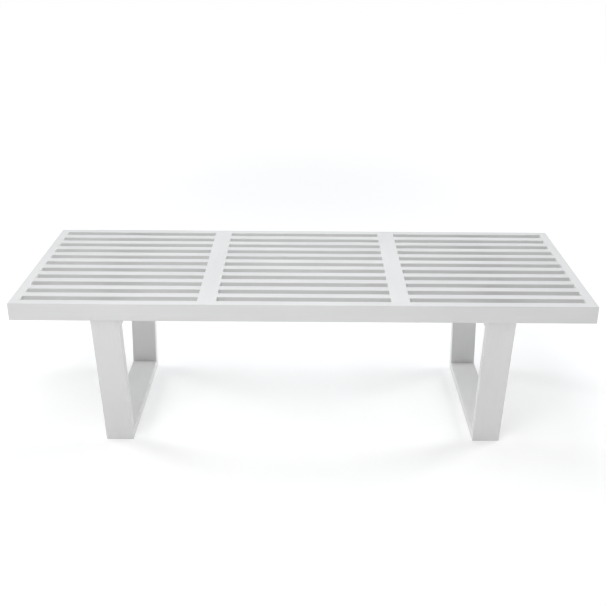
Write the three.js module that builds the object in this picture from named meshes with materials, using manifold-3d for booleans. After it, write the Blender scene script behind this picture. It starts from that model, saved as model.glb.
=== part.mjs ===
// A slatted platform bench in white lacquered wood. Millimetres, +Z up.
//
// The seat is one flat grid: a front rail and a rear rail, mitred to two end rails, ten slats tenoned
// into the end rails, and two cross rails lapped over the slats, with every top face flush. It stands
// on two closed trapezoid leg frames of finger-jointed boards. Four bolts go up through the top rail
// of each leg frame into threaded inserts in the slats.
//
// The origin is on the floor, under the middle of the seat. +X runs along the seat, and +Y to its rear.
import * as THREE from "three";
import { mergeVertices } from "three/addons/utils/BufferGeometryUtils.js";
import Module from "manifold-3d";

// Seat
const SEAT_LENGTH = 1219;
const SEAT_DEPTH = 470;
const SEAT_TOP = 356;
const BOARD_WIDTH = 20; // rails and slats, seen from above
const BOARD_HEIGHT = 38;
const SLAT_COUNT = 10; // between the front rail and the rear rail
const CROSS_RAIL_WIDTH = 40;
const CROSS_RAIL_OFFSET = 202; // from the middle of the seat to the middle of a cross rail

// Legs
const LEG_OFFSET = 413; // from the middle of the seat to the middle of a leg frame
const LEG_WIDTH = 60; // along the seat
const LEG_BOARD = 22; // thickness of a leg board
const LEG_HALF_TOP = 231; // from the middle to the outer face of an upright, under the seat
const LEG_HALF_FOOT = 182; // the same, on the floor
const FINGER_COUNT = 5; // across a leg board, at each corner

// Joints
const FIT = 0.3; // gap between two pieces that touch
const TENON_LENGTH = 8;
const TENON_HEIGHT = 24;
const SLAT_TENON_WIDTH = 8;
const CROSS_TENON_WIDTH = 24;
const KEY_THICKNESS = 4; // the loose key in each mitre
const KEY_LENGTH = 16; // across the mitre
const KEY_HEIGHT = 26;

// Fasteners
const BOLTED_SLATS = [1, 8]; // slats counted from the front, starting at 0
const BOLT_SPREAD = 15; // from the middle of a leg frame, along the seat
const BOLT_RADIUS = 3;
const BOLT_LENGTH = 35; // under the head
const BOLT_HOLE_RADIUS = 3.5;
const HEAD_RADIUS = 5.25;
const HEAD_HEIGHT = 3.3;
const SOCKET_RADIUS = 2.3; // to the corners of the hexagon
const SOCKET_DEPTH = 2;
const WASHER_RADIUS = 9;
const WASHER_THICKNESS = 1.6;
const INSERT_RADIUS = 5;
const INSERT_LENGTH = 13;
const INSERT_HOLE_DEPTH = 15;
const ROUND_SIDES = 20;

// Sizes that follow
const SEAT_UNDERSIDE = SEAT_TOP - BOARD_HEIGHT;
const BOARD_MIDDLE = SEAT_UNDERSIDE + BOARD_HEIGHT / 2;
const SLAT_PITCH = (SEAT_DEPTH - BOARD_WIDTH) / (SLAT_COUNT + 1);
const INNER_LENGTH = SEAT_LENGTH - 2 * BOARD_WIDTH; // between the end rails
const INNER_DEPTH = SEAT_DEPTH - 2 * BOARD_WIDTH; // between the front and rear rails
const LEG_TOP = SEAT_UNDERSIDE - FIT;
const LEG_SLOPE = (LEG_HALF_TOP - LEG_HALF_FOOT) / SEAT_UNDERSIDE;
const UPRIGHT_DEPTH = LEG_BOARD * Math.hypot(1, LEG_SLOPE); // an upright's thickness, level
const FINGER_WIDTH = LEG_WIDTH / FINGER_COUNT;
const RAIL_UNDERSIDE = LEG_TOP - LEG_BOARD; // the lower face of a leg's top rail
const OVERCUT = 1; // how far a cutter passes the face that it opens

const slatY = (index) => -SEAT_DEPTH / 2 + BOARD_WIDTH / 2 + (index + 1) * SLAT_PITCH;
const legHalf = (z) => LEG_HALF_FOOT + LEG_SLOPE * z;

const wasm = await Module();
wasm.setup();

// Shapes as solids

function solidOf(geometry) {
  const bare = geometry.clone();
  bare.deleteAttribute("normal");
  bare.deleteAttribute("uv");
  const merged = mergeVertices(bare, 1e-4);
  return new wasm.Manifold(
    new wasm.Mesh({
      numProp: 3,
      vertProperties: merged.attributes.position.array,
      triVerts: new Uint32Array(merged.index.array),
    }),
  );
}

function geometryOf(solid) {
  const mesh = solid.getMesh();
  const geometry = new THREE.BufferGeometry();
  geometry.setAttribute("position", new THREE.BufferAttribute(mesh.vertProperties, 3));
  geometry.setIndex(new THREE.BufferAttribute(mesh.triVerts, 1));
  const faceted = geometry.toNonIndexed();
  faceted.computeVertexNormals();
  return faceted;
}

// A box between two corners.
function box(low, high) {
  const size = high.map((value, axis) => value - low[axis]);
  const middle = high.map((value, axis) => (value + low[axis]) / 2);
  return solidOf(new THREE.BoxGeometry(...size).translate(...middle));
}

// A box by its middle and its size, grown by a margin on every side.
function block(middle, size, margin = 0) {
  return box(
    middle.map((value, axis) => value - size[axis] / 2 - margin),
    middle.map((value, axis) => value + size[axis] / 2 + margin),
  );
}

function prism(points, depth) {
  const shape = new THREE.Shape(points.map(([x, y]) => new THREE.Vector2(x, y)));
  return new THREE.ExtrudeGeometry(shape, { depth, bevelEnabled: false });
}

// An outline in plan, (x, y), extruded upwards from bottom to top.
function planPrism(points, bottom, top) {
  return solidOf(prism(points, top - bottom).translate(0, 0, bottom));
}

// An outline seen from the end of the seat, (y, z), extruded along X from one place to another.
function endPrism(points, from, to) {
  const turned = prism(points, to - from).rotateX(Math.PI / 2).rotateZ(Math.PI / 2);
  return solidOf(turned.translate(from, 0, 0));
}

function post(radius, bottom, top, x, y, sides = ROUND_SIDES) {
  const cylinder = new THREE.CylinderGeometry(radius, radius, top - bottom, sides);
  return solidOf(cylinder.rotateX(Math.PI / 2).translate(x, y, (top + bottom) / 2));
}

const cut = (solid, cutters) => cutters.reduce((rest, cutter) => rest.subtract(cutter), solid);
const join = (solid, additions) => additions.reduce((all, piece) => all.add(piece), solid);

// Seat

// The key across one mitre, in plan at 45 degrees, grown by a margin for its slot.
function cornerKey(sideX, sideY, margin = 0) {
  const size = [KEY_LENGTH, KEY_THICKNESS, KEY_HEIGHT].map((value) => value + 2 * margin);
  const key = new THREE.BoxGeometry(...size).rotateZ((-sideX * sideY * Math.PI) / 4);
  const x = sideX * (SEAT_LENGTH - BOARD_WIDTH) / 2;
  const y = sideY * (SEAT_DEPTH - BOARD_WIDTH) / 2;
  return solidOf(key.translate(x, y, BOARD_MIDDLE));
}

// A tenon runs as far back into its own board as it does into the rail.
function slatTenon(sideX, index, margin = 0) {
  const middle = [(sideX * INNER_LENGTH) / 2, slatY(index), BOARD_MIDDLE];
  return block(middle, [2 * TENON_LENGTH, SLAT_TENON_WIDTH, TENON_HEIGHT], margin);
}

function crossTenon(sideX, sideY, margin = 0) {
  const middle = [sideX * CROSS_RAIL_OFFSET, (sideY * INNER_DEPTH) / 2, BOARD_MIDDLE];
  return block(middle, [CROSS_TENON_WIDTH, 2 * TENON_LENGTH, TENON_HEIGHT], margin);
}

// The front rail (side -1) or the rear rail (side 1), mitred at both ends.
function longRail(sideY) {
  const mitreGap = FIT / Math.SQRT2;
  const outerX = SEAT_LENGTH / 2 - mitreGap;
  const innerX = INNER_LENGTH / 2 - mitreGap;
  const outerY = (sideY * SEAT_DEPTH) / 2;
  const innerY = (sideY * INNER_DEPTH) / 2;
  const outline = [[-outerX, outerY], [outerX, outerY], [innerX, innerY], [-innerX, innerY]];
  const keys = [-1, 1].map((sideX) => cornerKey(sideX, sideY, FIT));
  const mortises = [-1, 1].map((sideX) => crossTenon(sideX, sideY, FIT));
  return cut(planPrism(outline, SEAT_UNDERSIDE, SEAT_TOP), [...keys, ...mortises]);
}

// The left end rail (side -1) or the right end rail (side 1).
function endRail(sideX) {
  const mitreGap = FIT / Math.SQRT2;
  const outerX = (sideX * SEAT_LENGTH) / 2;
  const innerX = (sideX * INNER_LENGTH) / 2;
  const outerY = SEAT_DEPTH / 2 - mitreGap;
  const innerY = INNER_DEPTH / 2 - mitreGap;
  const outline = [[outerX, -outerY], [outerX, outerY], [innerX, innerY], [innerX, -innerY]];
  const keys = [-1, 1].map((sideY) => cornerKey(sideX, sideY, FIT));
  const mortises = Array.from({ length: SLAT_COUNT }, (_, index) => slatTenon(sideX, index, FIT));
  return cut(planPrism(outline, SEAT_UNDERSIDE, SEAT_TOP), [...keys, ...mortises]);
}

// One slat: a tenon at each end, and its upper half cut away where a cross rail passes over it.
function slat(index) {
  const y = slatY(index);
  const size = [INNER_LENGTH - 2 * FIT, BOARD_WIDTH, BOARD_HEIGHT];
  const tenons = [-1, 1].map((sideX) => slatTenon(sideX, index));
  const notches = [-1, 1].map((sideX) => {
    const x = sideX * CROSS_RAIL_OFFSET;
    const reach = CROSS_RAIL_WIDTH / 2 + FIT;
    return box(
      [x - reach, y - BOARD_WIDTH, BOARD_MIDDLE - FIT / 2],
      [x + reach, y + BOARD_WIDTH, SEAT_TOP + OVERCUT],
    );
  });
  const holes = BOLTED_SLATS.includes(index) ? insertHoles(y) : [];
  const board = join(block([0, y, BOARD_MIDDLE], size), tenons);
  return cut(board, [...notches, ...holes]);
}

// A cross rail: whole along its upper half, with a slot under it for each slat.
function crossRail(sideX) {
  const x = sideX * CROSS_RAIL_OFFSET;
  const size = [CROSS_RAIL_WIDTH, INNER_DEPTH - 2 * FIT, BOARD_HEIGHT];
  const tenons = [-1, 1].map((sideY) => crossTenon(sideX, sideY));
  const slots = Array.from({ length: SLAT_COUNT }, (_, index) => {
    const y = slatY(index);
    const reach = BOARD_WIDTH / 2 + FIT;
    return box(
      [x - CROSS_RAIL_WIDTH, y - reach, SEAT_UNDERSIDE - OVERCUT],
      [x + CROSS_RAIL_WIDTH, y + reach, BOARD_MIDDLE + FIT / 2],
    );
  });
  return cut(join(block([x, 0, BOARD_MIDDLE], size), tenons), slots);
}

// Legs

// The space of one finger at a corner, grown by half a gap, or past the board at its edge.
function fingerSpan(sideX, finger) {
  const left = sideX * LEG_OFFSET - LEG_WIDTH / 2 + finger * FINGER_WIDTH;
  const from = finger === 0 ? left - OVERCUT : left - FIT / 2;
  const last = finger === FINGER_COUNT - 1;
  const to = left + FINGER_WIDTH + (last ? OVERCUT : FIT / 2);
  return [from, to];
}

const fingers = Array.from({ length: FINGER_COUNT }, (_, finger) => finger);
const uprightFingers = fingers.filter((finger) => finger % 2 === 0);
const railFingers = fingers.filter((finger) => finger % 2 === 1);

// An upright leans in towards the floor. It keeps the even fingers at both of its ends.
function upright(sideX, sideY) {
  const outline = [
    [sideY * (legHalf(0) - UPRIGHT_DEPTH), 0],
    [sideY * legHalf(0), 0],
    [sideY * legHalf(LEG_TOP), LEG_TOP],
    [sideY * (legHalf(LEG_TOP) - UPRIGHT_DEPTH), LEG_TOP],
  ];
  const middle = sideX * LEG_OFFSET;
  const board = endPrism(outline, middle - LEG_WIDTH / 2, middle + LEG_WIDTH / 2);
  const sockets = railFingers.flatMap((finger) => {
    const [from, to] = fingerSpan(sideX, finger);
    const reach = LEG_HALF_TOP + OVERCUT;
    return [
      box([from, -reach, -OVERCUT], [to, reach, LEG_BOARD + FIT]),
      box([from, -reach, RAIL_UNDERSIDE - FIT], [to, reach, LEG_TOP + OVERCUT]),
    ];
  });
  return cut(board, sockets);
}

// A level board of a leg frame between two heights. It keeps the odd fingers at both of its ends.
function legRail(sideX, bottom, top) {
  const outline = [
    [-legHalf(bottom), bottom],
    [legHalf(bottom), bottom],
    [legHalf(top), top],
    [-legHalf(top), top],
  ];
  const middle = sideX * LEG_OFFSET;
  const board = endPrism(outline, middle - LEG_WIDTH / 2, middle + LEG_WIDTH / 2);
  const shoulder = (z) => legHalf(z) - UPRIGHT_DEPTH - FIT;
  const past = LEG_HALF_TOP + LEG_BOARD;
  const sockets = uprightFingers.flatMap((finger) => {
    const [from, to] = fingerSpan(sideX, finger);
    return [-1, 1].map((sideY) => {
      const low = bottom - OVERCUT;
      const high = top + OVERCUT;
      const corner = [[shoulder(low), low], [past, low], [past, high], [shoulder(high), high]];
      return endPrism(corner.map(([y, z]) => [sideY * y, z]), from, to);
    });
  });
  return cut(board, sockets);
}

// Fasteners

// The places of the four bolts of one leg frame, or of all eight, in plan.
function boltPlaces(sideX) {
  return BOLTED_SLATS.flatMap((index) =>
    [-1, 1].map((step) => [sideX * LEG_OFFSET + step * BOLT_SPREAD, slatY(index)]),
  );
}

function insertHoles(y) {
  const places = [-1, 1].flatMap(boltPlaces).filter((place) => place[1] === y);
  return places.map(([x]) => {
    const top = SEAT_UNDERSIDE + INSERT_HOLE_DEPTH;
    return post(INSERT_RADIUS + FIT, SEAT_UNDERSIDE - OVERCUT, top, x, y);
  });
}

function legTopRail(sideX) {
  const holes = boltPlaces(sideX).map(([x, y]) =>
    post(BOLT_HOLE_RADIUS, RAIL_UNDERSIDE - OVERCUT, LEG_TOP + OVERCUT, x, y),
  );
  return cut(legRail(sideX, RAIL_UNDERSIDE, LEG_TOP), holes);
}

const WASHER_TOP = RAIL_UNDERSIDE - FIT;
const HEAD_TOP = WASHER_TOP - WASHER_THICKNESS - FIT;

// A button-head socket bolt, head down.
function bolt() {
  const crown = new THREE.Path();
  crown.moveTo(0, HEAD_TOP - HEAD_HEIGHT);
  crown.lineTo(SOCKET_RADIUS + 0.5, HEAD_TOP - HEAD_HEIGHT);
  crown.quadraticCurveTo(HEAD_RADIUS, HEAD_TOP - HEAD_HEIGHT, HEAD_RADIUS, HEAD_TOP);
  crown.lineTo(BOLT_RADIUS, HEAD_TOP);
  crown.lineTo(BOLT_RADIUS, HEAD_TOP + BOLT_LENGTH - 1);
  crown.lineTo(BOLT_RADIUS - 0.8, HEAD_TOP + BOLT_LENGTH);
  crown.lineTo(0, HEAD_TOP + BOLT_LENGTH);
  const turned = new THREE.LatheGeometry(crown.getPoints(4), ROUND_SIDES).rotateX(Math.PI / 2);
  const bottom = HEAD_TOP - HEAD_HEIGHT;
  return cut(solidOf(turned), [post(SOCKET_RADIUS, bottom - OVERCUT, bottom + SOCKET_DEPTH, 0, 0, 6)]);
}

function washer() {
  const bottom = WASHER_TOP - WASHER_THICKNESS;
  const hole = post(BOLT_HOLE_RADIUS, bottom - OVERCUT, WASHER_TOP + OVERCUT, 0, 0);
  return cut(post(WASHER_RADIUS, bottom, WASHER_TOP, 0, 0), [hole]);
}

// A threaded insert, as a plain sleeve with two grip rings turned into its outside.
function threadedInsert() {
  const top = SEAT_UNDERSIDE + INSERT_LENGTH;
  const sleeve = post(INSERT_RADIUS, SEAT_UNDERSIDE, top, 0, 0);
  const hole = post(BOLT_RADIUS + FIT, SEAT_UNDERSIDE - OVERCUT, top + OVERCUT, 0, 0);
  const grooves = [0.35, 0.65].map((share) => {
    const height = SEAT_UNDERSIDE + share * INSERT_LENGTH;
    const ring = post(INSERT_RADIUS + OVERCUT, height - 1, height + 1, 0, 0);
    return ring.subtract(post(INSERT_RADIUS - 0.6, height - 2, height + 2, 0, 0));
  });
  return cut(sleeve, [hole, ...grooves]);
}

// The bench

const bench = new THREE.Group();

function addPart(name, solid, material, place = [0, 0, 0]) {
  const mesh = new THREE.Mesh(geometryOf(solid), material());
  mesh.name = name;
  mesh.position.set(...place);
  bench.add(mesh);
}

const lacquer = () => new THREE.MeshStandardMaterial({ color: 0xe8eaeb, roughness: 0.42, metalness: 0 });
const beech = () => new THREE.MeshStandardMaterial({ color: 0xc9a77a, roughness: 0.7, metalness: 0 });
const steel = () => new THREE.MeshStandardMaterial({ color: 0xb4b7ba, roughness: 0.35, metalness: 1 });
const brass = () => new THREE.MeshStandardMaterial({ color: 0xb8923f, roughness: 0.35, metalness: 1 });

const SIDES_X = [["left", -1], ["right", 1]];
const SIDES_Y = [["front", -1], ["rear", 1]];

for (const [nameY, sideY] of SIDES_Y) addPart(`${nameY}_rail`, longRail(sideY), lacquer);
for (let index = 0; index < SLAT_COUNT; index += 1) {
  addPart(`slat_${String(index + 1).padStart(2, "0")}`, slat(index), lacquer);
}
for (const [nameX, sideX] of SIDES_X) {
  addPart(`${nameX}_end_rail`, endRail(sideX), lacquer);
  addPart(`${nameX}_cross_rail`, crossRail(sideX), lacquer);
  addPart(`${nameX}_leg_top_rail`, legTopRail(sideX), lacquer);
  addPart(`${nameX}_leg_foot_rail`, legRail(sideX, 0, LEG_BOARD), lacquer);
  for (const [nameY, sideY] of SIDES_Y) {
    addPart(`${nameX}_leg_${nameY}_upright`, upright(sideX, sideY), lacquer);
    addPart(`corner_key_${nameX}_${nameY}`, cornerKey(sideX, sideY), beech);
  }
  boltPlaces(sideX).forEach(([x, y], index) => {
    const label = `${nameX}_${index + 1}`;
    addPart(`leg_bolt_${label}`, bolt(), steel, [x, y, 0]);
    addPart(`leg_washer_${label}`, washer(), steel, [x, y, 0]);
    addPart(`threaded_insert_${label}`, threadedInsert(), brass, [x, y, 0]);
  });
}

export default bench;
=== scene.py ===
"""The looks of a white lacquered slatted bench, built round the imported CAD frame. Metres, +Z up.

The CAD boards carry the joinery, with a 0.3 mm gap at every joint. Each visible board is cut here from a
grown copy of its CAD solid and a rounded outer shape of the whole seat or leg frame. Its free edges come out
softly rounded, and its joints close to a hairline, as they do under paint.
"""

import math
import random

import bmesh
import bpy
import numpy as np
from mathutils import Matrix, Vector


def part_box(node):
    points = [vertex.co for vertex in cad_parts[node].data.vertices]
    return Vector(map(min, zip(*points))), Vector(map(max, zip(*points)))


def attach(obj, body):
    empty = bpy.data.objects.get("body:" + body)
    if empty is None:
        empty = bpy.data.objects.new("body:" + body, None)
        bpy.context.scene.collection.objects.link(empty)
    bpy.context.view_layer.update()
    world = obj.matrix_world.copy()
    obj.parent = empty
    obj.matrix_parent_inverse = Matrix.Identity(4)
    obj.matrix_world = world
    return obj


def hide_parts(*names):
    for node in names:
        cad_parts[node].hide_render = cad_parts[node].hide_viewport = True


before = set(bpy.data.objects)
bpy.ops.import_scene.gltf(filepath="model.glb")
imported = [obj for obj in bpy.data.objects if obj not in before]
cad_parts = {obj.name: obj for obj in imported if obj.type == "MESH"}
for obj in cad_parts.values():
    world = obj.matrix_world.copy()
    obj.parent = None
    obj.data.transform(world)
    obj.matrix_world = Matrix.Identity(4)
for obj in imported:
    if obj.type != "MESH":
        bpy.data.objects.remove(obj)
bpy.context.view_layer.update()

SEED = 7

# Boards
CAD_GAP = 0.0003
SEAM = 0.00006  # what is left of the gap between two boards
EDGE_RADIUS = 0.0012
EDGE_STEPS = 4
SAME_CORNER = 0.000001
SAME_CAD_POINT = 0.000002
TINY = 0.000003
SAME_WAY = 0.999  # two faces whose normals have a larger cosine between them are parallel
FLAT_ANGLE = math.radians(1)
CORNER_ANGLE = math.radians(40)
SMOOTH_ANGLE = math.radians(30)
FLAT_WEIGHT = 80  # how strongly flat faces set the shading next to them, of 100
SLAT_NAMES = [name for name in sorted(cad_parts) if name.startswith("slat_")]
SIDES = ("left", "right")

# Fasteners
BOLTS_PER_LEG = 4
LATHE_SIDES = 48
SOCKET_RADIUS = 0.0023
SOCKET_DEPTH = 0.002
SOCKET_FLOOR = 0.8  # the flat ring at its bottom starts at this share of its radius
SOCKET_POINT = 0.0004
SOCKET_EDGE = 0.0002
BOLT_FLAT = 0.0008  # the flat ring round the socket
CROWN_HEIGHT = 0.0033
CROWN_EDGE = 0.0004
CROWN_STEPS = 8
SHANK_RADIUS = 0.003
PLAIN_SHANK = 0.012
THREAD_PITCH = 0.001
THREAD_DEPTH = 0.0004
THREAD_END = 0.0022
POINT_LENGTH = 0.0012
BOLT_HOLE_RADIUS = 0.0035
WASHER_EDGE = 0.0003
WASHER_STEPS = 3

# Noises. The stretch is along the board, then across it, on the lacquer, and along X, Y and Z elsewhere.
PORES = {"stretch": (5, 240, 240), "scale": 1.6, "detail": 5.0, "roughness": 0.6}
STROKES = {"stretch": (7, 380, 380), "scale": 1.0, "detail": 3.0, "roughness": 0.5}
PEEL = {"stretch": (1, 1, 1), "scale": 900, "detail": 2.0, "roughness": 0.5}
CLOUDS = {"stretch": (4, 12, 12), "scale": 1.0, "detail": 3.0, "roughness": 0.5}
MOTTLE = {"stretch": (1, 1, 1), "scale": 400, "detail": 4.0, "roughness": 0.55}
TOOL_MARKS = {"stretch": (900, 900, 9000), "scale": 1.0, "detail": 3.0, "roughness": 0.55}
FLECKS = {"stretch": (300, 300, 2500), "scale": 1.0, "detail": 4.0, "roughness": 0.55}
MOST = (0.3, 0.7)  # where most of a noise's values lie
MIDDLE = (0.35, 0.65)
GRAIN_SPREAD = 50  # each board's grain starts somewhere in this range

# Lacquer
LACQUER_DARK = (0.694, 0.695, 0.692)
LACQUER_LIGHT = (0.722, 0.723, 0.720)
BOARD_DARK = (0.984, 0.985, 0.985)
PORE_SHADE = (0.980, 0.978, 0.973)
PORE_VALUES = (0.3, 0.5)
WHITE = (1, 1, 1)
LACQUER_ROUGHNESS = (0.40, 0.47)
STROKE_ROUGHNESS = (-0.025, 0.025)
PEEL_HEIGHT = 0.00003
STROKE_HEIGHT = 0.00005
PORE_HEIGHT = 0.00006
LACQUER_BUMP = 0.6
COAT = 0.12
COAT_ROUGHNESS = 0.3

# Metals and bare wood
ZINC_DARK = (0.56, 0.57, 0.58)
ZINC_LIGHT = (0.68, 0.69, 0.70)
BRASS_DARK = (0.55, 0.38, 0.12)
BRASS_LIGHT = (0.66, 0.48, 0.19)
METAL_ROUGHNESS = (0.24, 0.4)
MARK_HEIGHT = 0.00001
MARK_BUMP = 0.7
BEECH_DARK = (0.50, 0.33, 0.18)
BEECH_LIGHT = (0.62, 0.44, 0.27)
BEECH_ROUGHNESS = (0.6, 0.75)
FLECK_HEIGHT = 0.00005
FLECK_BUMP = 0.5

# Floor and room
FLOOR_REACH = 60
FLOOR_TONE = 0.81
FLOOR_ROUGHNESS = 0.9
FLOOR_GLOW = (0.25, 0.9)  # near the bench and far from it
GLOW_RISES = (1.2, 4.5)  # between these distances
WALL_GLOW = 0.92
CEILING_GLOW = 0.1
WALL_TOP = math.radians(15)

# Lamps: name, place, width, height, power and colour. All face the bench's middle.
NEUTRAL = (1, 1, 1)
COOL = (0.968, 0.996, 1.036)
LAMPS = (
    ("front_left", (-0.8, -1.8, 1.8), 1.2, 1.2, 11, NEUTRAL),
    ("front_high", (-0.2, -1.2, 2.2), 1.2, 1.2, 17.5, NEUTRAL),
    ("overhead", (0.1, 0.3, 2.2), 1.2, 1.2, 15.5, COOL),
    ("rear_wide", (0, 2.76, 2.56), 4.0, 1.4, 19, COOL),
    ("left_side", (-3.22, 1.17, 1.36), 1.6, 1.6, 63, NEUTRAL),
    ("right_side", (3.22, 1.17, 1.36), 1.6, 1.6, 60, NEUTRAL),
)
BENCH_MIDDLE = Vector((0, 0, 0.25))

# Camera, seen from the front and a little above
CAMERA_PLACE = (0.0051, -1.9524, 1.1051)
CAMERA_YAW = 0.0070  # to the right
CAMERA_PITCH = 0.4087  # down
CAMERA_ROLL = 0.0089
LENS_MM = 54.154
SENSOR_MM = 36
SHIFT_X = -0.0149


# ---- Meshes -------------------------------------------------------------------------------------------

def new_object(name, data):
    made = bpy.data.objects.new(name, data)
    bpy.context.scene.collection.objects.link(made)
    return made


def mesh_from(bm, name):
    mesh = bpy.data.meshes.new(name)
    bm.to_mesh(mesh)
    bm.free()
    return mesh


def joined_quads(quads):
    """A closed surface from separate quads, with their shared corners merged."""
    bm = bmesh.new()
    for quad in quads:
        bm.faces.new([bm.verts.new(corner) for corner in quad])
    bmesh.ops.remove_doubles(bm, verts=bm.verts, dist=SAME_CORNER)
    bmesh.ops.recalc_face_normals(bm, faces=bm.faces)
    return bm


def round_edges(bm):
    """Rounds every edge where the surface turns outwards."""
    sharp = [
        edge for edge in bm.edges
        if edge.is_manifold and edge.is_convex and edge.calc_face_angle() > CORNER_ANGLE
    ]
    bmesh.ops.bevel(
        bm, geom=sharp, offset=EDGE_RADIUS, segments=EDGE_STEPS, profile=0.5, affect="EDGES",
        miter_outer="SHARP", clamp_overlap=True,
    )


def merge_flat(bm):
    """Turns each flat patch of faces into one face."""
    bmesh.ops.dissolve_limit(bm, angle_limit=FLAT_ANGLE, verts=bm.verts, edges=bm.edges)


def grow(bm, distance):
    """Moves every face outwards by the same distance."""
    bm.normal_update()
    moves = []
    for vert in bm.verts:
        normals = []
        for face in vert.link_faces:
            if all(face.normal.dot(other) < SAME_WAY for other in normals):
                normals.append(face.normal.copy())
        rows = np.array([list(normal) for normal in normals])
        step = np.linalg.lstsq(rows, np.full(len(rows), distance), rcond=None)[0]
        moves.append((vert, Vector(step)))
    for vert, step in moves:
        vert.co += step


def grown_copy(node):
    """A copy of a CAD node as one closed mesh, a little larger all round."""
    bm = bmesh.new()
    bm.from_mesh(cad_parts[node].data)
    bmesh.ops.remove_doubles(bm, verts=bm.verts, dist=SAME_CAD_POINT)
    merge_flat(bm)
    grow(bm, (CAD_GAP - SEAM) / 2)
    bmesh.ops.triangulate(bm, faces=bm.faces)
    return mesh_from(bm, f"{node}_grown")


def cut_to(thing, shape):
    """Keeps only what lies inside the shape."""
    cut = thing.modifiers.new("cut", "BOOLEAN")
    cut.object = shape
    cut.operation = "INTERSECT"
    cut.solver = "EXACT"
    graph = bpy.context.evaluated_depsgraph_get()
    mesh = bpy.data.meshes.new_from_object(thing.evaluated_get(graph), depsgraph=graph)
    thing.modifiers.clear()
    thing.data = mesh


def off_line(vert):
    """How far a point with two edges is from the straight line between its neighbours."""
    start, end = (edge.other_vert(vert).co for edge in vert.link_edges)
    return (vert.co - start).cross(end - start).length / (end - start).length


def clean(mesh):
    """Removes slivers too small to see, and the points that flat faces and straight edges don't need."""
    bm = bmesh.new()
    bm.from_mesh(mesh)
    bmesh.ops.remove_doubles(bm, verts=bm.verts, dist=TINY)
    bmesh.ops.dissolve_degenerate(bm, edges=bm.edges, dist=TINY)
    merge_flat(bm)
    spare = [vert for vert in bm.verts if len(vert.link_edges) == 2 and off_line(vert) < TINY]
    bmesh.ops.dissolve_verts(bm, verts=spare)
    bm.to_mesh(mesh)
    bm.free()


def finish_surface(thing):
    """Flat faces stay flat, and rounded edges shade smoothly."""
    mesh = thing.data
    mesh.polygons.foreach_set("use_smooth", [True] * len(mesh.polygons))
    mesh.set_sharp_from_angle(angle=SMOOTH_ANGLE)
    weighted = thing.modifiers.new("weighted_normals", "WEIGHTED_NORMAL")
    weighted.keep_sharp = True
    weighted.weight = FLAT_WEIGHT


def place_on_frame(piece, node, material):
    piece.data.materials.clear()
    piece.data.materials.append(material)
    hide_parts(node)
    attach(piece, "root")


# ---- Outer shapes -------------------------------------------------------------------------------------

def seat_lines():
    """The seat's board edges, as their places along X and along Y."""
    end_low, end_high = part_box("left_end_rail")
    rail_low, rail_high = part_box("front_rail")
    along = [end_low.x, end_high.x]
    for side in SIDES:
        low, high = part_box(f"{side}_cross_rail")
        along += [low.x, high.x]
    along += [-end_high.x, -end_low.x]
    across = [rail_low.y, rail_high.y]
    for name in SLAT_NAMES:
        low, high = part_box(name)
        across += [low.y, high.y]
    across += [-rail_high.y, -rail_low.y]
    return along, across


def seat_shape():
    """The whole seat as one rounded grid, with its slots open."""
    along, across = seat_lines()
    low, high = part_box("front_rail")
    bottom, top = low.z, high.z

    def solid(column, row):
        inside = 0 <= column < len(along) - 1 and 0 <= row < len(across) - 1
        return inside and (column % 2 == 0 or row % 2 == 0)

    quads = []
    for column in range(len(along) - 1):
        for row in range(len(across) - 1):
            if not solid(column, row):
                continue
            x0, x1 = along[column], along[column + 1]
            y0, y1 = across[row], across[row + 1]
            for z in (bottom, top):
                quads.append([(x0, y0, z), (x1, y0, z), (x1, y1, z), (x0, y1, z)])
            walls = {
                (column - 1, row): [(x0, y0), (x0, y1)],
                (column + 1, row): [(x1, y0), (x1, y1)],
                (column, row - 1): [(x0, y0), (x1, y0)],
                (column, row + 1): [(x0, y1), (x1, y1)],
            }
            for neighbour, (a, b) in walls.items():
                if not solid(*neighbour):
                    quads.append([(*a, bottom), (*b, bottom), (*b, top), (*a, top)])
    bm = joined_quads(quads)
    merge_flat(bm)
    round_edges(bm)
    return new_object("seat_shape", mesh_from(bm, "seat_shape"))


def leg_lean(side):
    """How far a leg's rear upright leans back for each metre of its height."""
    _, foot_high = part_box(f"{side}_leg_foot_rail")
    _, head_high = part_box(f"{side}_leg_top_rail")
    return (head_high.y - foot_high.y) / (head_high.z - foot_high.z)


def trapezoid(low_reach, low_z, high_reach, high_z):
    """Corners in Y and Z, alike at the front and the rear."""
    return [(-low_reach, low_z), (low_reach, low_z), (high_reach, high_z), (-high_reach, high_z)]


def leg_shape(side):
    """One leg frame as a rounded trapezoid ring."""
    foot_low, foot_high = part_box(f"{side}_leg_foot_rail")
    head_low, head_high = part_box(f"{side}_leg_top_rail")
    upright_low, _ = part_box(f"{side}_leg_rear_upright")
    lean = leg_lean(side)

    def outer(z):
        return foot_high.y + lean * (z - foot_high.z)

    def inner(z):
        return outer(z) - (outer(foot_low.z) - upright_low.y)

    ring_out = trapezoid(outer(foot_low.z), foot_low.z, outer(head_high.z), head_high.z)
    ring_in = trapezoid(inner(foot_high.z), foot_high.z, inner(head_low.z), head_low.z)
    x0, x1 = foot_low.x, foot_high.x
    quads = []
    for corner in range(4):
        after = (corner + 1) % 4
        a, b = ring_out[corner], ring_out[after]
        c, d = ring_in[after], ring_in[corner]
        for x in (x0, x1):
            quads.append([(x, *a), (x, *b), (x, *c), (x, *d)])
        quads.append([(x0, *a), (x1, *a), (x1, *b), (x0, *b)])
        quads.append([(x0, *d), (x1, *d), (x1, *c), (x0, *c)])
    bm = joined_quads(quads)
    round_edges(bm)
    return new_object(f"{side}_leg_shape", mesh_from(bm, f"{side}_leg_shape"))


# ---- Boards -------------------------------------------------------------------------------------------

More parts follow.
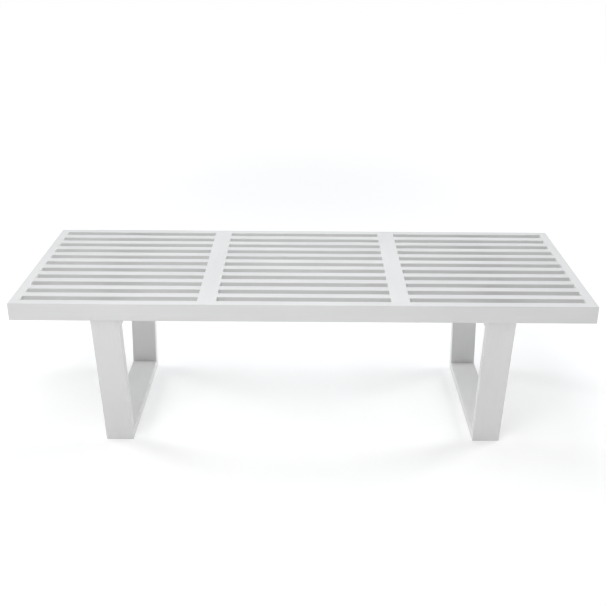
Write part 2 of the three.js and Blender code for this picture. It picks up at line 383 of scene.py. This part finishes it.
def store_grain(mesh, along, luck):
    """Each board's own coordinates for its wood grain, along the board and then across it, and its tone."""
    along = Vector(along).normalized()
    side = Vector((0, 0, 1)).cross(along).normalized()
    up = along.cross(side)
    turn = np.array([list(along), list(side), list(up)])
    points = np.array([list(vert.co) for vert in mesh.vertices])
    start = np.array([luck.uniform(0, GRAIN_SPREAD) for _ in range(3)])
    grain = points @ turn.T + start
    stored = mesh.attributes.new("grain", "FLOAT_VECTOR", "POINT")
    stored.data.foreach_set("vector", grain.astype(np.float32).ravel())
    tone = mesh.attributes.new("tone", "FLOAT", "POINT")
    tone.data.foreach_set("value", [luck.random()] * len(points))


def board(node, shape, along, material, luck):
    piece = new_object(f"painted_{node}", grown_copy(node))
    cut_to(piece, shape)
    clean(piece.data)
    store_grain(piece.data, along, luck)
    finish_surface(piece)
    place_on_frame(piece, node, material)


def all_boards(material):
    luck = random.Random(SEED)
    seat = seat_shape()
    for node in ["front_rail", *SLAT_NAMES, "rear_rail"]:
        board(node, seat, (1, 0, 0), material, luck)
    for side in SIDES:
        board(f"{side}_end_rail", seat, (0, 1, 0), material, luck)
        board(f"{side}_cross_rail", seat, (0, 1, 0), material, luck)
    bpy.data.objects.remove(seat)
    for side in SIDES:
        leg = leg_shape(side)
        lean = leg_lean(side)
        board(f"{side}_leg_top_rail", leg, (0, 1, 0), material, luck)
        board(f"{side}_leg_foot_rail", leg, (0, 1, 0), material, luck)
        board(f"{side}_leg_front_upright", leg, (0, -lean, 1), material, luck)
        board(f"{side}_leg_rear_upright", leg, (0, lean, 1), material, luck)
        bpy.data.objects.remove(leg)


# ---- Fasteners ----------------------------------------------------------------------------------------

def hexagon_reach(corner, angle):
    """A hexagon's reach at an angle, when its corners reach this far at 0, 60, 120 degrees and so on."""
    sixth = math.pi / 3
    return corner * math.cos(sixth / 2) / math.cos(angle % sixth - sixth / 2)


def lathe(name, profile, hexagons=()):
    """A profile of (radius, height) turned round +Z. It starts and ends on the axis, or closes on itself.

    The profile points whose numbers are in hexagons become six-sided rings.
    """
    bm = bmesh.new()
    rings = []
    angles = [2 * math.pi * step / LATHE_SIDES for step in range(LATHE_SIDES)]
    for number, (radius, height) in enumerate(profile):
        if radius == 0:
            rings.append([bm.verts.new((0, 0, height))])
            continue
        ring = []
        for angle in angles:
            reach = hexagon_reach(radius, angle) if number in hexagons else radius
            ring.append(bm.verts.new((reach * math.cos(angle), reach * math.sin(angle), height)))
        rings.append(ring)
    if len(rings[0]) > 1:
        rings.append(rings[0])
    for low, high in zip(rings, rings[1:]):
        for step in range(LATHE_SIDES):
            after = (step + 1) % LATHE_SIDES
            if len(low) == 1:
                bm.faces.new([low[0], high[step], high[after]])
            elif len(high) == 1:
                bm.faces.new([low[step], low[after], high[0]])
            else:
                bm.faces.new([low[step], low[after], high[after], high[step]])
    bmesh.ops.recalc_face_normals(bm, faces=bm.faces)
    return mesh_from(bm, name)


def arc(centre, radius, start, end, steps):
    """Points of (radius, height) on an arc, by angles in degrees."""
    angles = [math.radians(start + (end - start) * step / steps) for step in range(steps + 1)]
    return [(centre[0] + radius * math.cos(a), centre[1] + radius * math.sin(a)) for a in angles]


def bolt_mesh(node):
    """A button-head socket bolt with its head down."""
    low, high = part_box(node)
    head = (high.x - low.x) / 2
    length = high.z - low.z
    flat = SOCKET_RADIUS + BOLT_FLAT
    socket = [
        (SOCKET_RADIUS * SOCKET_FLOOR, SOCKET_DEPTH), (SOCKET_RADIUS, SOCKET_DEPTH),
        (SOCKET_RADIUS, SOCKET_EDGE),
    ]
    profile = [
        (0, SOCKET_DEPTH + SOCKET_POINT), *socket, (SOCKET_RADIUS + SOCKET_EDGE, 0), (flat, 0),
    ]
    for step in range(1, CROWN_STEPS + 1):
        turn = math.radians(90 * step / CROWN_STEPS)
        profile.append((
            flat + (head - flat) * math.sin(turn),
            (CROWN_HEIGHT - CROWN_EDGE) * (1 - math.cos(turn)),
        ))
    profile += [
        (head, CROWN_HEIGHT - CROWN_EDGE / 2), (head - CROWN_EDGE / 2, CROWN_HEIGHT),
        (SHANK_RADIUS, CROWN_HEIGHT),
    ]
    height = CROWN_HEIGHT + PLAIN_SHANK
    while height < length - THREAD_END:
        profile += [(SHANK_RADIUS, height), (SHANK_RADIUS - THREAD_DEPTH, height + THREAD_PITCH / 2)]
        height += THREAD_PITCH
    profile += [
        (SHANK_RADIUS, length - POINT_LENGTH), (SHANK_RADIUS - 2 * THREAD_DEPTH, length), (0, length),
    ]
    return lathe("bolt", profile, hexagons=range(1, 1 + len(socket)))


def washer_mesh(node):
    """A flat washer with rounded outer edges and a chamfered hole."""
    low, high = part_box(node)
    outer = (high.x - low.x) / 2
    thickness = high.z - low.z
    edge = WASHER_EDGE
    profile = [
        (BOLT_HOLE_RADIUS, edge), (BOLT_HOLE_RADIUS + edge, 0),
        *arc((outer - edge, edge), edge, -90, 0, WASHER_STEPS),
        *arc((outer - edge, thickness - edge), edge, 0, 90, WASHER_STEPS),
        (BOLT_HOLE_RADIUS + edge, thickness), (BOLT_HOLE_RADIUS, thickness - edge),
    ]
    return lathe("washer", profile)


def fastener(node, mesh, material):
    low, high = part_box(node)
    piece = new_object(f"detailed_{node}", mesh.copy())
    piece.data.transform(Matrix.Translation(((low.x + high.x) / 2, (low.y + high.y) / 2, low.z)))
    finish_surface(piece)
    place_on_frame(piece, node, material)


def all_fasteners(material):
    bolt = bolt_mesh("leg_bolt_left_1")
    washer = washer_mesh("leg_washer_left_1")
    for side in SIDES:
        for number in range(1, BOLTS_PER_LEG + 1):
            fastener(f"leg_bolt_{side}_{number}", bolt, material)
            fastener(f"leg_washer_{side}_{number}", washer, material)


def keep_cad_nodes(prefix, material):
    """Hidden CAD pieces stay as they are, with a material of their own."""
    for name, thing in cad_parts.items():
        if name.startswith(prefix):
            thing.data.materials.clear()
            thing.data.materials.append(material)


# ---- Materials ----------------------------------------------------------------------------------------

def start_material(name):
    material = bpy.data.materials.new(name)
    material.use_nodes = True
    tree = material.node_tree
    return material, tree, tree.nodes["Principled BSDF"]


def add_node(tree, kind, **values):
    made = tree.nodes.new(kind)
    for key, value in values.items():
        setattr(made, key, value)
    return made


def feed(tree, socket, value):
    """Gives an input a link, a number or a colour."""
    if isinstance(value, bpy.types.NodeSocket):
        tree.links.new(value, socket)
    elif isinstance(value, (int, float)):
        socket.default_value = value
    else:
        socket.default_value = (*value, 1)


def noise(tree, source, stretch, scale, detail, roughness):
    """Noise in coordinates that are scaled apart along each axis."""
    mapping = add_node(tree, "ShaderNodeMapping")
    mapping.inputs["Scale"].default_value = stretch
    tree.links.new(source, mapping.inputs["Vector"])
    made = add_node(tree, "ShaderNodeTexNoise")
    made.inputs["Scale"].default_value = scale
    made.inputs["Detail"].default_value = detail
    made.inputs["Roughness"].default_value = roughness
    tree.links.new(mapping.outputs["Vector"], made.inputs["Vector"])
    return made.outputs["Fac"]


def ramp(tree, value, before, after, kind="LINEAR"):
    """The value, mapped from the range before to the range after."""
    made = add_node(tree, "ShaderNodeMapRange", interpolation_type=kind)
    for key, number in zip(("From Min", "From Max", "To Min", "To Max"), (*before, *after)):
        made.inputs[key].default_value = number
    tree.links.new(value, made.inputs["Value"])
    return made.outputs["Result"]


def colour_mix(tree, factor, first, second, kind="MIX"):
    """A colour mix. The mix node has other inputs for numbers and vectors between these."""
    made = add_node(tree, "ShaderNodeMix", data_type="RGBA", blend_type=kind)
    for index, value in ((0, factor), (6, first), (7, second)):
        feed(tree, made.inputs[index], value)
    return made.outputs[2]


def multiply(tree, first, second):
    return colour_mix(tree, 1.0, first, second, "MULTIPLY")


def add(tree, first, second):
    made = add_node(tree, "ShaderNodeMath", operation="ADD")
    tree.links.new(first, made.inputs[0])
    tree.links.new(second, made.inputs[1])
    return made.outputs[0]


def bump(tree, height, distance, strength, below=None):
    made = add_node(tree, "ShaderNodeBump")
    made.inputs["Strength"].default_value = strength
    made.inputs["Distance"].default_value = distance
    tree.links.new(height, made.inputs["Height"])
    if below is not None:
        tree.links.new(below, made.inputs["Normal"])
    return made.outputs["Normal"]


def lacquer_material():
    """White satin lacquer, with the grain, the brush strokes and fine orange peel just showing."""
    material, tree, surface = start_material("white_lacquer")
    grain = add_node(tree, "ShaderNodeAttribute", attribute_name="grain").outputs["Vector"]
    tone = add_node(tree, "ShaderNodeAttribute", attribute_name="tone").outputs["Fac"]
    pores = noise(tree, grain, **PORES)
    strokes = noise(tree, grain, **STROKES)
    peel = noise(tree, grain, **PEEL)
    clouds = noise(tree, grain, **CLOUDS)

    white = colour_mix(tree, ramp(tree, clouds, MIDDLE, (0, 1)), LACQUER_DARK, LACQUER_LIGHT)
    white = multiply(tree, white, colour_mix(tree, tone, BOARD_DARK, WHITE))
    in_pore = ramp(tree, pores, PORE_VALUES, (1, 0))
    white = multiply(tree, white, colour_mix(tree, in_pore, WHITE, PORE_SHADE))
    tree.links.new(white, surface.inputs["Base Color"])

    rough = ramp(tree, clouds, MOST, LACQUER_ROUGHNESS)
    rough = add(tree, rough, ramp(tree, strokes, MOST, STROKE_ROUGHNESS))
    tree.links.new(rough, surface.inputs["Roughness"])
    normal = bump(tree, peel, PEEL_HEIGHT, LACQUER_BUMP)
    normal = bump(tree, strokes, STROKE_HEIGHT, LACQUER_BUMP, normal)
    normal = bump(tree, pores, PORE_HEIGHT, LACQUER_BUMP, normal)
    tree.links.new(normal, surface.inputs["Normal"])
    surface.inputs["Coat Weight"].default_value = COAT
    surface.inputs["Coat Roughness"].default_value = COAT_ROUGHNESS
    return material


def metal_material(name, dark, light):
    """Plated or turned metal, with fine marks and a soft mottle."""
    material, tree, surface = start_material(name)
    place = add_node(tree, "ShaderNodeTexCoord").outputs["Object"]
    mottle = noise(tree, place, **MOTTLE)
    marks = noise(tree, place, **TOOL_MARKS)
    tree.links.new(colour_mix(tree, mottle, dark, light), surface.inputs["Base Color"])
    tree.links.new(ramp(tree, mottle, MOST, METAL_ROUGHNESS), surface.inputs["Roughness"])
    tree.links.new(bump(tree, marks, MARK_HEIGHT, MARK_BUMP), surface.inputs["Normal"])
    surface.inputs["Metallic"].default_value = 1.0
    return material


def beech_material():
    """Bare beech, with flecks along the grain."""
    material, tree, surface = start_material("bare_beech")
    place = add_node(tree, "ShaderNodeTexCoord").outputs["Object"]
    flecks = noise(tree, place, **FLECKS)
    wood = colour_mix(tree, ramp(tree, flecks, MIDDLE, (0, 1)), BEECH_DARK, BEECH_LIGHT)
    tree.links.new(wood, surface.inputs["Base Color"])
    tree.links.new(ramp(tree, flecks, MOST, BEECH_ROUGHNESS), surface.inputs["Roughness"])
    tree.links.new(bump(tree, flecks, FLECK_HEIGHT, FLECK_BUMP), surface.inputs["Normal"])
    return material


# ---- Stage, lights and camera -------------------------------------------------------------------------

def floor():
    """A pale floor. Its glow makes up for the lamps' light, which fades away from the bench."""
    bm = bmesh.new()
    bmesh.ops.create_grid(bm, x_segments=2, y_segments=2, size=FLOOR_REACH)
    ground = new_object("floor", mesh_from(bm, "floor"))
    material, tree, surface = start_material("pale_floor")
    place = add_node(tree, "ShaderNodeNewGeometry").outputs["Position"]
    away = add_node(tree, "ShaderNodeVectorMath", operation="LENGTH")
    tree.links.new(place, away.inputs[0])
    glow = ramp(tree, away.outputs["Value"], GLOW_RISES, FLOOR_GLOW, "SMOOTHSTEP")
    tree.links.new(glow, surface.inputs["Emission Strength"])
    surface.inputs["Emission Color"].default_value = (1, 1, 1, 1)
    surface.inputs["Base Color"].default_value = (FLOOR_TONE, FLOOR_TONE, FLOOR_TONE, 1)
    surface.inputs["Roughness"].default_value = FLOOR_ROUGHNESS
    surface.inputs["Specular IOR Level"].default_value = 0.0
    ground.data.materials.append(material)


def room():
    """Pale walls that darken softly towards the ceiling."""
    world = bpy.data.worlds.new("studio_room")
    world.use_nodes = True
    tree = world.node_tree
    way = add_node(tree, "ShaderNodeTexCoord").outputs["Generated"]
    parts = add_node(tree, "ShaderNodeSeparateXYZ")
    tree.links.new(way, parts.inputs["Vector"])
    glow = ramp(
        tree, parts.outputs["Z"], (0, math.sin(WALL_TOP)), (WALL_GLOW, CEILING_GLOW), "SMOOTHSTEP",
    )
    background = tree.nodes["Background"]
    background.inputs["Color"].default_value = (1, 1, 1, 1)
    tree.links.new(glow, background.inputs["Strength"])
    bpy.context.scene.world = world


def soft_box(name, place, width, height, power, colour):
    """A soft box that faces the bench."""
    data = bpy.data.lights.new(name, "AREA")
    data.shape = "RECTANGLE"
    data.size = width
    data.size_y = height
    data.energy = power
    data.color = colour
    light = new_object(name, data)
    light.location = place
    light.rotation_euler = (BENCH_MIDDLE - Vector(place)).to_track_quat("-Z", "Y").to_euler()


def camera():
    data = bpy.data.cameras.new("camera")
    data.lens = LENS_MM
    data.sensor_width = SENSOR_MM
    data.shift_x = SHIFT_X
    made = new_object("camera", data)
    turn = (
        Matrix.Rotation(-CAMERA_YAW, 4, "Z")
        @ Matrix.Rotation(math.pi / 2 - CAMERA_PITCH, 4, "X")
        @ Matrix.Rotation(CAMERA_ROLL, 4, "Z")
    )
    made.matrix_world = Matrix.Translation(CAMERA_PLACE) @ turn
    bpy.context.scene.camera = made


def colour_management():
    view = bpy.context.scene.view_settings
    view.view_transform = "Standard"
    view.look = "None"
    view.exposure = 0
    view.gamma = 1


camera()
for lamp in LAMPS:
    soft_box(*lamp)
room()
floor()
colour_management()
all_boards(lacquer_material())
all_fasteners(metal_material("zinc_plate", ZINC_DARK, ZINC_LIGHT))
keep_cad_nodes("threaded_insert_", metal_material("turned_brass", BRASS_DARK, BRASS_LIGHT))
keep_cad_nodes("corner_key_", beech_material())
